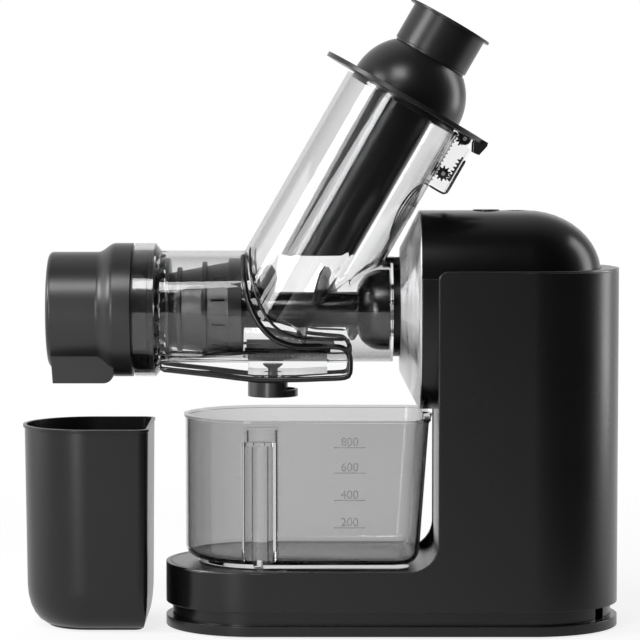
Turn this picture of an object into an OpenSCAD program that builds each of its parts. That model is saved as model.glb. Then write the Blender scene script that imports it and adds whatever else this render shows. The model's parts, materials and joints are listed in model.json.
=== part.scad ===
// Horizontal slow juicer. The motor column stands on a long foot, and the clear drum lies along X.
// Millimetres, +Z up. The origin is on the resting plane, below the middle of the outer box.

/* [Foot and column] */
// Length of the foot along X
foot_l = 278; // [270:1:300]
// Width of the foot and of the column
body_w = 110; // [108:1:116]
// Height of the tray that carries the jug
tray_z = 39.5; // [36:0.5:44]
// Height of the column's side panels
panel_z = 220; // [218:0.5:222]
// Height of the lowest flange of the foot
flange_z = 6.7; // [5:0.1:8]
// Height of the upper edge of the cord groove
groove_z = 15; // [13:0.5:18]
// Depth of the cord groove
groove_d = 4; // [3:0.5:5]
// Wall of the moulded casings
shell_t = 3; // [2.5:0.1:3.5]
// Distance from the column's back to its front wall
column_l = 112; // [110:1:116]
// Radius of the inside corner between the column and the foot
corner_r = 18; // [12:1:20]

/* [Motor head] */
// Height of the drum's axis
drum_z = 194; // [192:0.5:196]
// How far the head's oval outline is centred above the drum's axis
head_rise = 0.2; // [0:0.1:1]
// Half height of the head's oval outline
head_h = 60.8; // [59:0.1:62]
// How far the head's oval outline stands in from the column's sides
head_in = 2.8; // [2.5:0.1:5]
// How far the head stands out in front of the column
head_out = 10.5; // [8:0.5:13]
// Radius of the flat front of the steel face
face_r = 38; // [36:0.5:40]
// Depth of the steel face's cone
face_l = 12.3; // [10:0.1:15]
// Thickness of the steel face
face_t = 1.4; // [1:0.1:2]

/* [Drum] */
// Outer radius of the drum
drum_r = 36.3; // [35:0.1:38]
// Wall of the drum
drum_t = 4.3; // [3.5:0.1:5]
// Length of the drum's wide part
drum_l = 118.5; // [116:0.1:121]
// Length of the narrow part at the back
rear_l = 26.5; // [24:0.5:29]
// Outer radius of the narrow part
rear_r = 32; // [31:0.1:33]
// Outer radius of the ring at the open end
ring_r = 40.9; // [40:0.1:43]
// Length of the ring at the open end
ring_l = 12.3; // [11:0.1:14]
// Half width of the juice trough
trough_w = 24; // [21:0.5:25]
// Height of the trough's floor under the axis
trough_h = 40.7; // [40:0.1:43]

/* [Feed tube] */
// Outer radius of the feed tube
tube_r = 38.9; // [38:0.1:41]
// Wall of the feed tube
tube_t = 2.9; // [2.4:0.1:3.2]
// Slant of the feed tube from upright
tube_tilt = 30; // [28:0.5:32]
// Distance of the feed tube's axis from the steel face, along the drum's axis
tube_back = 71; // [69:0.5:73]
// Length of the feed tube from the drum's axis
tube_l = 146.3; // [140:0.5:152]

/* [Lid and pusher] */
// Radius of the lid's flange
lid_r = 55; // [52:0.5:56]
// Thickness of the lid's flange
lid_t = 2.8; // [2.4:0.1:3.2]
// Outer radius of the lid's dome
dome_r = 36; // [35:0.5:38]
// Radius of the pusher's stem
stem_r = 20.7; // [19:0.1:21.5]
// Radius of the pusher's cup
cup_r = 24.2; // [23.5:0.1:26]
// Height of the pusher's cup
cup_h = 26; // [22:0.5:30]
// Height of the stem's lower end above the drum's axis
stem_z = 34; // [32:0.5:50]

/* [Auger] */
// Radius of the auger's shaft
auger_shaft_r = 11; // [9:0.1:12]
// Radius of the auger's flight in the open drum
flight_r = 27; // [25:0.1:27.5]
// Pitch of the flight
flight_pitch = 38; // [34:1:42]
// Thickness of the flight
flight_t = 4; // [3:0.1:6]

/* [Jug and pulp container] */
// Length of the jug without its spout
jug_l = 148.7; // [140:0.5:149]
// Width of the jug
jug_w = 99; // [94:0.5:102]
// Height of the jug's rim over the tray
jug_h = 91; // [85:0.5:94]
// Wall of the jug
jug_t = 2.2; // [1.8:0.1:2.6]
// Length of the pulp container
pot_l = 79.3; // [76:0.1:84]
// Width of the pulp container
pot_w = 84; // [80:0.5:90]
// Height of the pulp container
pot_h = 124; // [110:0.5:130]
// Wall of the pulp container
pot_t = 2; // [1.6:0.1:2.6]
// Gap between the pulp container and the foot
pot_gap = 8.4; // [6:0.1:14]

/* [Gears] */
// Module of the interlock's small teeth
lock_m = 0.8333; // [0.8333]
// Module of the output gear pair
out_m = 1.25; // [1.25]
// Module of the motor gear pair
mot_m = 1; // [1]

/* [Fits] */
// Clearance between pieces that move
gap = 0.3; // [0.3:0.05:0.4]
// Radial clearance of a shaft in its bearing
run = 0.05; // [0.03:0.01:0.08]

/* [Hidden] */
$fn = 72;
e = 0.01;
big = 400;

overall_l = pot_l + pot_gap + foot_l;
foot_x1 = overall_l / 2;
foot_x0 = foot_x1 - foot_l;
pot_x1 = foot_x0 - pot_gap;
body_r = body_w / 2;
inner_r = body_r - shell_t;
column_x = foot_x1 - column_l;
head_x = column_x - head_out + 0.5;
head_n = 2.5;
head_w = body_w / 2 - head_in;
head_z = drum_z + head_rise;
plate_z = 0.6;
cover_z = 215.8;
cover_back_l = 46;
cover_bend_x = foot_x1 - 57;
cover_t = 2.6;
cover_n = 28;
deck_rise = cover_z - head_z;
deck_w = head_w * pow(1 - pow(deck_rise / head_h, head_n), 1 / head_n);
face_x = head_x - face_l;

// The drum and what is placed along its axis
drum_x1 = face_x - 4.4;
drum_x0 = drum_x1 - rear_l - drum_l - ring_l + 0.01;
ring_x1 = drum_x0 + ring_l;
rear_x = drum_x1 - rear_l;
bore_r = drum_r - drum_t;
rear_bore_r = rear_r - 3;
socket_r = ring_r - 3.9;
ring_cone_l = 3.6;

// The feed tube: its frame has z along the tube and x to the outside, away from the drum's open end
tube_x = face_x - tube_back;
tube_bore_r = tube_r - tube_t;
sleeve_z = drum_z - 20.3;
lid_z = tube_l + 1.6;
pin_x = tube_r + 4.4;
pin_z = tube_l - 0.4;
pin_r = 1.25;
neck_r = 3.8;
lock_pitch = PI * lock_m;
knuckle_n = 12;
knuckle_r = lock_m * knuckle_n / 2;
pinion_n = 10;
pinion_pr = lock_m * pinion_n / 2;
rod_x = pin_x - knuckle_r;
pinion_x = rod_x + pinion_pr;
pinion_z = pin_z - 9.5 * lock_pitch;
return_x = pinion_x + pinion_pr;
lock_w = 5;
box_w = 16;
box_t = 1.4;
cavity_w = 10.6;
box_x1 = return_x + 1.17 + 1 + 1.4;
box_z0 = pinion_z - 10.6;
rod_t = 1.4;
rod_root = rod_x - 1.1 * lock_m;
rod_in = rod_root - rod_t;
slot_w = lock_w + 0.6;
pad_w = cavity_w + 3;
rod_end_z = 58.7;
skirt_h = 3.4;
dome_top = sqrt(pow(dome_r, 2) - pow(cup_r, 2));
cup_z = lid_z + lid_t + dome_top + gap;

// Strainer, sieve, cap and drip stop
strainer_x0 = ring_x1 + 6.9;
strainer_x1 = strainer_x0 + 46.2;
strainer_r0 = 22.2;
strainer_r1 = bore_r - 1.2;
sieve_x0 = strainer_x1 + 1.8;
sieve_x1 = sieve_x0 + 52;
sieve_a = asin(trough_w / bore_r);
spout_x = sieve_x0 + 16.7;
spout_r = 7.4;
drip_r = 15.4;
drip_z = drum_z - 53;
cap_r = drum_r - 0.8;
cap_x1 = drum_x0 - 1.6;
cap_x0 = cap_x1 - 51.5;
cap_t = 2.6;
chute_lean = 3.6;
chute_x1 = cap_x1 - 11;
chute_edge = 6;
chute_w = 23;
chute_z = drum_z - 43.4;

// Motor and gears
gear_x = column_x + 8;
gear_w = 8;
idler_z = drum_z - out_m * (48 + 12) / 2;
motor_z = idler_z - mot_m * (48 + 12) / 2;
stage_x = gear_x + gear_w + 1;
stage_w = 5;
case_x0 = column_x + shell_t;
case_x1 = stage_x + stage_w + 3;
case_t = 3;
shaft_r = 6;
hex_r = 6.9;
hex_x0 = drum_x1 - 8.5;
auger_x1 = drum_x1 - 2;
stator_x0 = case_x1 + 12;
stator_l = 38;
stator_r = 33;
rotor_r = 15;

// Jug, tray and controls
jug_z = tray_z + gap;
jug_x1 = column_x - 5.2;
jug_x0 = jug_x1 - jug_l;
grip_x = jug_x0 + 46;
grip_r = 8.6;
grip_depth = 9;
jug_foot = 2.6;
jug_edge = 8;
jug_lean = 6.5;
pot_foot = 1.2;
pot_edge = 14;
pot_rise = 1.7;
pot_keep = 0.75;
pot_lean = [1.5, 1];
plunger_z = drum_z + rear_r - 4.7;
plunger_h = 5;
power_x = foot_x1 - 81.5;
reverse_x = power_x + 18.2;
power_r = 8;
reverse_r = 6.4;
button_z = head_z + head_h;
board_z = button_z - 22;

// Points of an arc from angle a0 to a1
function arc(cx, cy, r, a0, a1, n) =
  [for (i = [0:n]) let (a = a0 + (a1 - a0) * i / n) [cx + r * cos(a), cy + r * sin(a)]];

// Signed power, for the head's full oval
function spow(v, p) = sign(v) * pow(abs(v), p);
function oval(w, h, n) =
  [for (i = [0:n - 1]) let (a = 360 * i / n) [w * spow(cos(a), 2 / head_n), h * spow(sin(a), 2 / head_n)]];

// Outline of a spur gear with straight-sided teeth
function gear_points(n, m, phase) =
  let (rp = n * m / 2, rt = rp + 0.8 * m, rr = rp - 1.1 * m, half = 0.39 * PI * m / 2)
  let (ar = (half + 1.1 * m * tan(20)) / rr * 180 / PI * 0.86, at = (half - 0.8 * m * tan(20)) / rt * 180 / PI)
  [for (i = [0:n - 1]) let (a = phase + 360 * i / n)
    for (p = [[rr, -ar], [rt, -at], [rt, at], [rr, ar]]) [p[0] * cos(a + p[1]), p[0] * sin(a + p[1])]];

module gear_2d(n, m, phase = 0) { polygon(gear_points(n, m, phase)); }

// Rack teeth that point along +x from the line x = 0, one centred on each place in zs
module rack_teeth(zs) {
  half = 0.39 * lock_pitch / 2;
  root = half + 1.1 * lock_m * tan(20);
  tip = half - 0.8 * lock_m * tan(20);
  for (z = zs)
    polygon([[-1.1 * lock_m - 0.1, z - root], [-1.1 * lock_m, z - root], [0.8 * lock_m, z - tip],
      [0.8 * lock_m, z + tip], [-1.1 * lock_m, z + root], [-1.1 * lock_m - 0.1, z + root]]);
}

// Places children with z along the drum's axis, from x, with their own x pointing down
module on_axis(x, z = drum_z) { translate([x, 0, z]) rotate([0, 90, 0]) children(); }
module rod_x_axis(x0, x1, r, z = drum_z) { on_axis(x0, z) cylinder(h = x1 - x0, r = r); }
module pipe_x(x0, x1, ro, ri, z = drum_z) {
  difference() {
    rod_x_axis(x0, x1, ro, z);
    rod_x_axis(x0 - 1, x1 + 1, ri, z);
  }
}
module in_tube() { translate([tube_x, 0, drum_z]) rotate([0, tube_tilt, 0]) children(); }

// Extrudes a drawing in the x-z plane by w, centred on y = 0
module side_plate(w) { rotate([90, 0, 0]) linear_extrude(w, center = true) children(); }

// The foot's plan: straight sides and two half-round ends
module foot_plan(r) {
  translate([foot_x0 + body_r, 0]) circle(r = r, $fn = 128);
  translate([foot_x1 - body_r, 0]) circle(r = r, $fn = 128);
  translate([foot_x0 + body_r, -r]) square([foot_l - 2 * body_r, 2 * r]);
}
module foot_slab(r, z0, z1) { translate([0, 0, z0]) linear_extrude(z1 - z0) foot_plan(r); }

// A tub with one half-round end and one squarish end, drawn in by d, with corners of radius rc.
// Its lower edge is drawn in by rb over rise * rb; the squarish end keeps the share keep of that.
// Each end leans in by its value of lean towards the bottom.
function tub_ring(x0, x1, hw, rc, d, z) =
  let (r = max(rc - d, 0.4), c = max(rc, d + 0.4))
  [for (p = concat(arc(x1 - c, hw - c, r, 0, 90, 6), arc(x0 + hw, 0, hw - d, 90, 270, 32),
    arc(x1 - c, c - hw, r, 270, 360, 6))) [p[0], p[1], z]];
module tub(x0, x1, hw, rc, rb, z0, z1, lean = [0, 0], rise = 1, keep = 0) {
  loft(concat([for (a = [0:15:90]) let (d = rb * (1 - sin(a)), z = z0 + rise * rb * (1 - cos(a)))
      let (t = (z1 - z) / (z1 - z0)) tub_ring(x0 + lean[0] * t, x1 - lean[1] * t + keep * d, hw, rc, d, z)],
    [tub_ring(x0, x1, hw, rc, 0, z1)]));
}

// A solid through rings of points; each ring runs anticlockwise as seen from the last one
module loft(rings) {
  n = len(rings[0]);
  k = len(rings);
  polyhedron(points = [for (r = rings) for (p = r) p], faces = concat(
    [[for (i = [0:n - 1]) i]], [[for (i = [0:n - 1]) k * n - 1 - i]],
    [for (j = [0:k - 2], i = [0:n - 1]) [j * n + i, (j + 1) * n + (i + 1) % n, j * n + (i + 1) % n]],
    [for (j = [0:k - 2], i = [0:n - 1]) [j * n + i, (j + 1) * n + i, (j + 1) * n + (i + 1) % n]]));
}

// ---- Casing ----

module panel_profile() {
  polygon(concat([[foot_x0 - 5, groove_z], [foot_x1 + 5, groove_z], [foot_x1 + 5, panel_z]],
    arc(column_x + 5, panel_z - 5, 5, 90, 180, 5),
    arc(column_x - corner_r, tray_z + corner_r, corner_r, 0, -90, 10), [[foot_x0 - 5, tray_z]]));
}

// Plan of the cover where it meets the deck, grown by d
module cover_plan(d) {
  hw = deck_w + d;
  translate([head_x, -hw]) square([cover_bend_x - head_x, 2 * hw]);
  polygon([for (i = [-24:24]) let (a = 90 * i / 24) [cover_bend_x + (cover_back_l + d) * cos(a), hw * sin(a)]]);
}

module body_shell() color("#1d1e20") {
  intersection() {
    difference() {
      foot_slab(body_r, groove_z, panel_z);
      foot_slab(inner_r, groove_z + 2.2, panel_z - shell_t);
      foot_slab(body_r - groove_d + 0.5, groove_z - 1, groove_z + 4);
      translate([0, 0, panel_z - shell_t - 1]) linear_extrude(shell_t + 2) cover_plan(gap);
    }
    side_plate(body_w + 2) panel_profile();
  }
}

module front_housing() color("#1b1c1e") {
  r = inner_r - gap;
  // Tray under the jug
  intersection() {
    foot_slab(r, tray_z - shell_t, tray_z);
    translate([-big, -big, 0]) cube([big + column_x + shell_t, 2 * big, big]);
  }
  // Column front with its return walls
  difference() {
    intersection() {
      foot_slab(r, tray_z - e, cover_z - gap);
      translate([column_x + 0.5, -big, 0]) cube([20, 2 * big, big]);
    }
    translate([column_x + shell_t + 0.5, -r + shell_t, 0]) cube([30, 2 * r - 2 * shell_t, big]);
    rod_x_axis(column_x - 1, column_x + 5, shaft_r + 4);
    translate([column_x + shell_t + 0.5, -big, cover_z - 14]) cube([30, 2 * big, 20]);
  }
  // Fillet between the tray and the column front
  side_plate(2 * r - 4) polygon(concat([[column_x + 1, tray_z - 1], [column_x + 1, tray_z + 8]],
    arc(column_x + 0.5 - 7, tray_z + 7, 7, 0, -90, 6), [[column_x - 7, tray_z - 1]]));
  // Lower half of the head, which carries the steel face
  difference() {
    translate([head_x, 0, head_z]) rotate([90, 0, 90]) linear_extrude(head_out + 1) polygon(oval(head_w, head_h, 72));
    translate([head_x - 1, 0, head_z]) rotate([90, 0, 90]) linear_extrude(head_out + 0.4)
      polygon(oval(head_w - shell_t, head_h - shell_t, 72));
    translate([head_x - 2, -big, cover_z - gap]) cube([30, 2 * big, big]);
    rod_x_axis(column_x - 1, column_x + 5, shaft_r + 4);
  }
}

// Rings of points that close down along the cover's back, drawn in by d, with feet at height zb
function cover_ring(x, q, d, zb) =
  let (a0 = asin(pow(deck_rise / head_h, head_n / 2)))
  concat([for (i = [0:cover_n]) let (a = a0 + (180 - 2 * a0) * i / cover_n)
    [x, (head_w - d) * spow(cos(a), 2 / head_n) * q,
      cover_z + ((head_h - d) * spow(sin(a), 2 / head_n) - deck_rise + (i == 0 || i == cover_n ? d : 0)) * q]],
    zb < cover_z ? [[x, -(head_w - d) * q, zb], [x, (head_w - d) * q, zb]] : []);

module cover_solid(d, x0, zb) {
  rings = concat([cover_ring(x0, 1, d, zb)],
    [for (b = [0:7.5:82.5]) cover_ring(cover_bend_x + (cover_back_l - d) * sin(b), cos(b), d, zb)],
    [cover_ring(cover_bend_x + cover_back_l - d, 0.04, d, zb)]);
  loft(rings);
}

module top_cover() color("#101113") {
  difference() {
    cover_solid(0, head_x, cover_z);
    cover_solid(cover_t, head_x - 1, cover_z - 1);
    translate([power_x, 0, button_z - 8]) cylinder(h = 20, r = power_r + gap);
    translate([reverse_x, 0, button_z - 8]) cylinder(h = 20, r = reverse_r + gap);
  }
}

module steel_face() color("#b9bcbf") {
  difference() {
    hull() {
      rod_x_axis(face_x, face_x + 0.5, face_r);
      translate([head_x - 0.6, 0, head_z]) rotate([90, 0, 90]) linear_extrude(0.5)
        polygon(oval(head_w, head_h, 72));
    }
    hull() {
      rod_x_axis(face_x + face_t, face_x + face_t + 0.5, face_r - 0.6);
      translate([head_x - 0.1, 0, head_z]) rotate([90, 0, 90]) linear_extrude(0.6)
        polygon(oval(head_w - 1.6, head_h - 1.6, 72));
    }
    rod_x_axis(face_x - 1, face_x + 4, shaft_r + 3);
    translate([face_x - 1, -3.2, plunger_z - 0.5]) cube([5, 6.4, plunger_h + 1]);
  }
}

module bayonet_collar() color("#121314") {
  difference() {
    union() {
      pipe_x(drum_x1 + 0.2, face_x, rear_r - 3.3, shaft_r + 13);
      translate([drum_x1 + 0.2, -6, drum_z + rear_r - 10.5]) cube([face_x - drum_x1 - 0.2, 12, 10.5]);
      translate([drum_x1 - 6, -6, plunger_z - 1.3]) cube([7, 12, plunger_h + 1.3]);
    }
    translate([drum_x1 - 8, -2.9, plunger_z - gap]) cube([30, 5.8, 20]);
  }
  // Two lugs that the drum's rear edge turns behind
  for (a = [0, 180]) on_axis(drum_x1 + 0.2) rotate([0, 0, a + 90])
    translate([rear_r - 4.2, -4, 0]) cube([3.2, 8, face_x - drum_x1 - 0.2]);
}

module base_plate() color("#1b1c1e") {
  difference() {
    union() {
      foot_slab(body_r, plate_z, flange_z);
      foot_slab(body_r - groove_d, flange_z - 1, groove_z - 0.2);
    }
    foot_slab(body_r - groove_d - shell_t, plate_z + shell_t, groove_z + 1);
    // Vents under the motor
    for (i = [0:6]) translate([foot_x1 - 92 + 9 * i, -22, 0]) cube([4, 44, 10]);
    // Cord slot in the groove
    translate([foot_x1 - body_r, 0, 0]) rotate([0, 0, -35])
      translate([body_r - groove_d - 6, -4.5, flange_z + 0.2]) cube([12, 9, 7.2]);
    for (p = screw_places) translate([p[0], p[1], 0]) cylinder(h = 10, r = 1.8);
    for (p = foot_places) translate([p[0], p[1], 0]) cylinder(h = 2.4, r = 8);
  }
  // Pillars that the tray and the casing stand on
  for (p = screw_places) translate([p[0], p[1], 0]) difference() {
    translate([0, 0, 3]) cylinder(h = tray_z - shell_t - 3 - gap, r = 4.5);
    cylinder(h = 16, r = 1.8);
  }
}
screw_places = [[foot_x0 + 40, 30], [foot_x0 + 40, -30], [column_x - 15, 38], [column_x - 15, -38]];
foot_places = [[foot_x0 + 22, 0], [foot_x0 + 75, 40], [foot_x0 + 75, -40], [foot_x1 - 40, 36],
  [foot_x1 - 40, -36]];

module rubber_feet() color("#2a2a2a") {
  for (p = foot_places) translate([p[0], p[1], 0]) {
    cylinder(h = plate_z, r = 7);
    cylinder(h = 2.4, r = 6);
  }
}

module base_screws() color("#8c8f92") {
  for (p = screw_places) translate([p[0], p[1], 1.4]) {
    cylinder(h = 14, r = 1.5);
  }
}

// ---- Motor and gears ----

module case_outline(d) {
  hull() {
    translate([0, 0]) circle(r = 34 + d);
    translate([drum_z - idler_z, 0]) circle(r = 29 + d);
    translate([drum_z - motor_z, 0]) circle(r = 12 + d);
  }
}

module gearbox_case() color("#3a3d40") {
  difference() {
    union() {
      on_axis(case_x0 + 0.5) linear_extrude(case_x1 - case_x0 - 0.5) case_outline(0);
      rod_x_axis(column_x - 2, case_x0 + 1, shaft_r + 3.4);
    }
    on_axis(case_x0 + case_t + 0.5) linear_extrude(big) case_outline(-2.5);
    rod_x_axis(column_x - 3, case_x0 + 9, shaft_r + 2);
    rod_x_axis(case_x0 - 1, case_x0 + 9, 3.1, idler_z);
  }
}

module gearbox_cover() color("#44474a") {
  difference() {
    on_axis(case_x1) linear_extrude(case_t) case_outline(0);
    rod_x_axis(case_x1 - 1, case_x1 + 5, shaft_r + run);
    rod_x_axis(case_x1 - 1, case_x1 + 5, 3.1, idler_z);
    rod_x_axis(case_x1 - 1, case_x1 + 5, 6, motor_z);
  }
}

module output_bearing() color("#b08d4a") {
  pipe_x(column_x - 2, case_x0 + case_t + 0.4, shaft_r + 2, shaft_r + run);
}

module idler_shaft() color("#a9acaf") { rod_x_axis(case_x0 + 0.6, case_x1 + case_t, 3.05, idler_z); }

module output_shaft() color("#a9acaf") {
  rod_x_axis(face_x - 2, case_x1 + case_t + 1, shaft_r);
  on_axis(hex_x0) rotate([0, 0, 30]) cylinder(h = face_x - hex_x0, r = hex_r, $fn = 6);
}

module output_gear() color("#d8d4c8") {
  on_axis(gear_x) linear_extrude(gear_w) difference() {
    gear_2d(48, out_m);
    circle(r = shaft_r);
    for (a = [0:60:359]) rotate(a + 15) translate([18, 0]) circle(r = 5);
  }
}

module idler_gear() color("#c9c5b8") {
  difference() {
    union() {
      on_axis(gear_x, idler_z) linear_extrude(gear_w + 1) gear_2d(12, out_m, 15);
      on_axis(stage_x, idler_z) linear_extrude(stage_w) difference() {
        gear_2d(48, mot_m);
        for (a = [0:72:359]) rotate(a) translate([15, 0]) circle(r = 4);
      }
    }
    rod_x_axis(gear_x - 1, case_x1, 3.05 + run, idler_z);
  }
}

module rotor_shaft() color("#a9acaf") {
  rod_x_axis(stage_x, stage_x + stage_w + 0.5, 4.2, motor_z);
  on_axis(stage_x, motor_z) linear_extrude(stage_w) gear_2d(12, mot_m, 15);
  rod_x_axis(stage_x + stage_w, stator_x0 + stator_l + 16, 3, motor_z);
}

module rotor_core() color("#8f6b3a") {
  difference() {
    rod_x_axis(stator_x0 + 1, stator_x0 + stator_l - 1, rotor_r, motor_z);
    rod_x_axis(stator_x0, stator_x0 + stator_l, 3, motor_z);
    for (a = [0:30:359]) on_axis(stator_x0, motor_z) rotate([0, 0, a])
      translate([rotor_r - 1.5, -0.6, 0]) cube([4, 1.2, stator_l]);
  }
}

module motor_fan() color("#2f3235") {
  x = stator_x0 + stator_l + 4;
  difference() {
    union() {
      rod_x_axis(x, x + 7, 6, motor_z);
      for (a = [0:45:359]) on_axis(x, motor_z) rotate([0, 0, a]) translate([4, -0.8, 0]) cube([22, 1.6, 6]);
      pipe_x(x, x + 1.6, 26, 5, motor_z);
    }
    rod_x_axis(x - 1, x + 9, 3, motor_z);
  }
}

module motor_stator() color("#6f7275") {
  difference() {
    rod_x_axis(stator_x0, stator_x0 + stator_l, stator_r, motor_z);
    rod_x_axis(stator_x0 - 1, stator_x0 + stator_l + 1, rotor_r + 0.6, motor_z);
    for (a = [45:90:359]) on_axis(stator_x0 - 1, motor_z) rotate([0, 0, a])
      translate([rotor_r + 3, -5, 0]) cube([9, 10, stator_l + 2]);
  }
}

module motor_bracket() color("#4a4d50") {
  // Front bracket between the gearbox and the stator, with the front bearing seat
  difference() {
    rod_x_axis(case_x1 + case_t, stator_x0, stator_r + 2, motor_z);
    rod_x_axis(case_x1 + case_t + 2, stator_x0 + 1, stator_r - 2, motor_z);
    rod_x_axis(case_x1, stator_x0, 3 + run, motor_z);
    rod_x_axis(case_x1 + case_t - 1, case_x1 + case_t + 3, shaft_r + 2, drum_z);
    rod_x_axis(case_x1 + case_t - 1, case_x1 + case_t + 1.5, 4, idler_z);
  }
  // Rear bracket with arms past the fan
  x = stator_x0 + stator_l;
  difference() {
    union() {
      rod_x_axis(x + 12, x + 15, 8, motor_z);
      for (a = [45:90:359]) on_axis(x, motor_z) rotate([0, 0, a]) {
        translate([4, -3, 12]) cube([stator_r - 4, 6, 3]);
        translate([stator_r - 4, -3, 0]) cube([4, 6, 15]);
      }
    }
    rod_x_axis(x + 10, x + 17, 3 + run, motor_z);
  }
  // Foot that stands on the base
  translate([stator_x0 - 8, -20, groove_d + 0.5]) cube([6, 40, motor_z - stator_r - groove_d + 2]);
  translate([stator_x0 - 8, -26, 1.2 + shell_t]) cube([30, 52, 3]);
}

module circuit_board() color("#2c5a36") {
  translate([power_x - 16, -20, board_z]) cube([44, 40, 1.6]);
  for (x = [power_x, reverse_x]) translate([x - 3, -3, board_z + 1.6]) cube([6, 6, 3.4]);
}

module board_posts() color("#202124") {
  y = 16;
  r = 2.2;
  z1 = head_z + (head_h - cover_t) * pow(1 - pow((y + r) / (head_w - cover_t), head_n), 1 / head_n);
  for (x = [power_x - 12, power_x + 24], s = [-1, 1])
    translate([x, s * y, board_z + 1.6]) cylinder(h = z1 - board_z - 1.7, r = r);
}

module microswitch() color("#1a1a1c") {
  translate([column_x - 9, -4, plunger_z - 5]) difference() {
    cube([12, 8, 11]);
    translate([-1, 1.2, 4.2]) cube([7, 5.6, 6]);
  }
  translate([column_x + 0.6, -4, cover_z - gap]) cube([2.4, 8, plunger_z - 4.9 - cover_z + gap]);
}

module switch_plunger() color("#0f0f10") {
  x0 = drum_x1 - 7.6;
  side_plate(lock_w) polygon([[x0, plunger_z], [column_x - 4.5, plunger_z], [column_x - 4.5, plunger_z + plunger_h],
    [x0 + 2.5, plunger_z + plunger_h], [x0, plunger_z + plunger_h - 1.45]]);
}

// ---- Drum ----

module trough_profile(d) {
  polygon([[ring_x1 + 3, drum_z - 30], [ring_x1 + 3, drum_z - 34.5 + d],
    [spout_x - 10, drum_z - trough_h + d], [spout_x + 14, drum_z - trough_h + d],
    [rear_x - 3 - d, drum_z - trough_h + 1.6 + d], [rear_x - 0.9 - d, drum_z - trough_h + 2.5 + d],
    [rear_x - d, drum_z - trough_h + 4.6 + d], [rear_x - d, drum_z - 20]]);
}

// The side view of the sleeve that joins the tube to the drum
module sleeve_profile() {
  polygon([[tube_x - 25.6, drum_z + 36.5], [tube_x - 24.6, drum_z + 20], [tube_x - 21.5, drum_z + 4],
    [tube_x - 14.5, drum_z - 8], [tube_x - 6, drum_z - 15.2], [tube_x + 3, drum_z - 19.3],
    [tube_x + 9.9, sleeve_z], [tube_x + 34.5, sleeve_z], [tube_x + 40, sleeve_z - 3],
    [rear_x, sleeve_z - 8], [rear_x + 6, drum_z + 4], [drum_x1 + 2, drum_z + rear_r],
    [big, drum_z + big], [-big, drum_z + big], [-big, drum_z + 36.5]]);
}

// The side view of the space that opens from the tube down to the auger
module throat_profile() {
  polygon([[tube_x - 22.5, drum_z + 28], [tube_x - 14, drum_z + 11], [tube_x - 5.5, drum_z - 1],
    [tube_x + 8, drum_z - 8.4], [tube_x + 11.7, drum_z - 8.4], [tube_x + 37.5, drum_z + 6.4],
    [tube_x + 60, drum_z + 24], [big, drum_z + big], [-big, drum_z + big]]);
}

module drum_outside() {
  rod_x_axis(drum_x0, ring_x1, ring_r);
  on_axis(ring_x1) cylinder(h = ring_cone_l, r1 = ring_r, r2 = drum_r);
  rod_x_axis(ring_x1, rear_x, drum_r);
  rod_x_axis(rear_x - 1, drum_x1, rear_r);
  side_plate(2 * trough_w + 5) trough_profile(0);
  intersection() {
    in_tube() translate([0, 0, -60]) cylinder(h = tube_l + 60, r = tube_r);
    side_plate(100) sleeve_profile();
  }
  // Interlock box and the ears of the lid's hinge
  in_tube() {
    side_plate(box_w) polygon([[tube_r - 3, box_z0], [box_x1 - 2.5, box_z0], [box_x1, box_z0 + 2.5],
      [box_x1, pin_z - 4], [tube_r - 3, pin_z - 4]]);
    side_plate(box_w) {
      translate([pin_x, pin_z]) circle(r = 4);
      polygon([[tube_r - 3, pin_z - 5], [pin_x + 4, pin_z - 5], [pin_x + 4, pin_z], [pin_x, pin_z + 1],
        [tube_r - 3, tube_l]]);
    }
  }
  // Spout under the trough
  translate([spout_x, 0, drip_z + 6]) cylinder(h = drum_z - trough_h - drip_z - 5, r = spout_r);
}

module drum() color("#c9cdd0", 0.45) {
  difference() {
    drum_outside();
    rod_x_axis(drum_x0 - 1, ring_x1 - 0.3, socket_r);
    rod_x_axis(drum_x0 - 1, rear_x - 0.5, bore_r);
    rod_x_axis(rear_x - 2, drum_x1 - 1.4, rear_bore_r);
    rod_x_axis(drum_x1 - 3, drum_x1 + 1, 13);
    // Feed bore, with a pad left standing inside it for the rod's channel
    intersection() {
      difference() {
        in_tube() translate([0, 0, -60]) cylinder(h = tube_l + 80, r = tube_bore_r);
        in_tube() translate([rod_in - gap - 1.6, -pad_w / 2, rod_end_z - 30]) cube([20, pad_w, 200]);
      }
      side_plate(100) throat_profile();
    }
    // Trough inside, under the sieve
    intersection() {
      side_plate(2 * trough_w) trough_profile(2.6);
      translate([sieve_x0 + 2, -big, 0]) cube([sieve_x1 - sieve_x0 - 4, 2 * big, drum_z - 10]);
    }
    translate([spout_x, 0, drip_z]) cylinder(h = 40, r = spout_r - 2);
    in_tube() {
      // Interlock cavity, open at the top between the ears
      translate([rod_in - gap, -cavity_w / 2, box_z0 + box_t])
        cube([box_x1 - box_t - rod_in + gap, cavity_w, 60]);
      translate([box_x1 - box_t - 1, -box_w, pin_z - 1]) cube([10, 2 * box_w, 20]);
      // Channel for the rod
      translate([rod_in - gap, -slot_w / 2, rod_end_z - 12]) cube([rod_t + 2 * gap, slot_w, 120]);
      for (p = [[pin_x, pin_z], [pinion_x, pinion_z]]) translate([p[0], 0, p[1]]) rotate([90, 0, 0])
        cylinder(h = 40, r = pin_r, center = true);
    }
    // Notch for the switch block and its plunger
    translate([drum_x1 - 7, -6.5, plunger_z - 1.8]) cube([20, 13, 30]);
    translate([drum_x1 - 11, -3.3, plunger_z - 0.8]) cube([20, 6.6, 30]);
  }
}

module hinge_pin() color("#b5b8bb") {
  in_tube() translate([pin_x, 0, pin_z]) rotate([90, 0, 0]) cylinder(h = box_w, r = pin_r, center = true);
}

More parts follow.
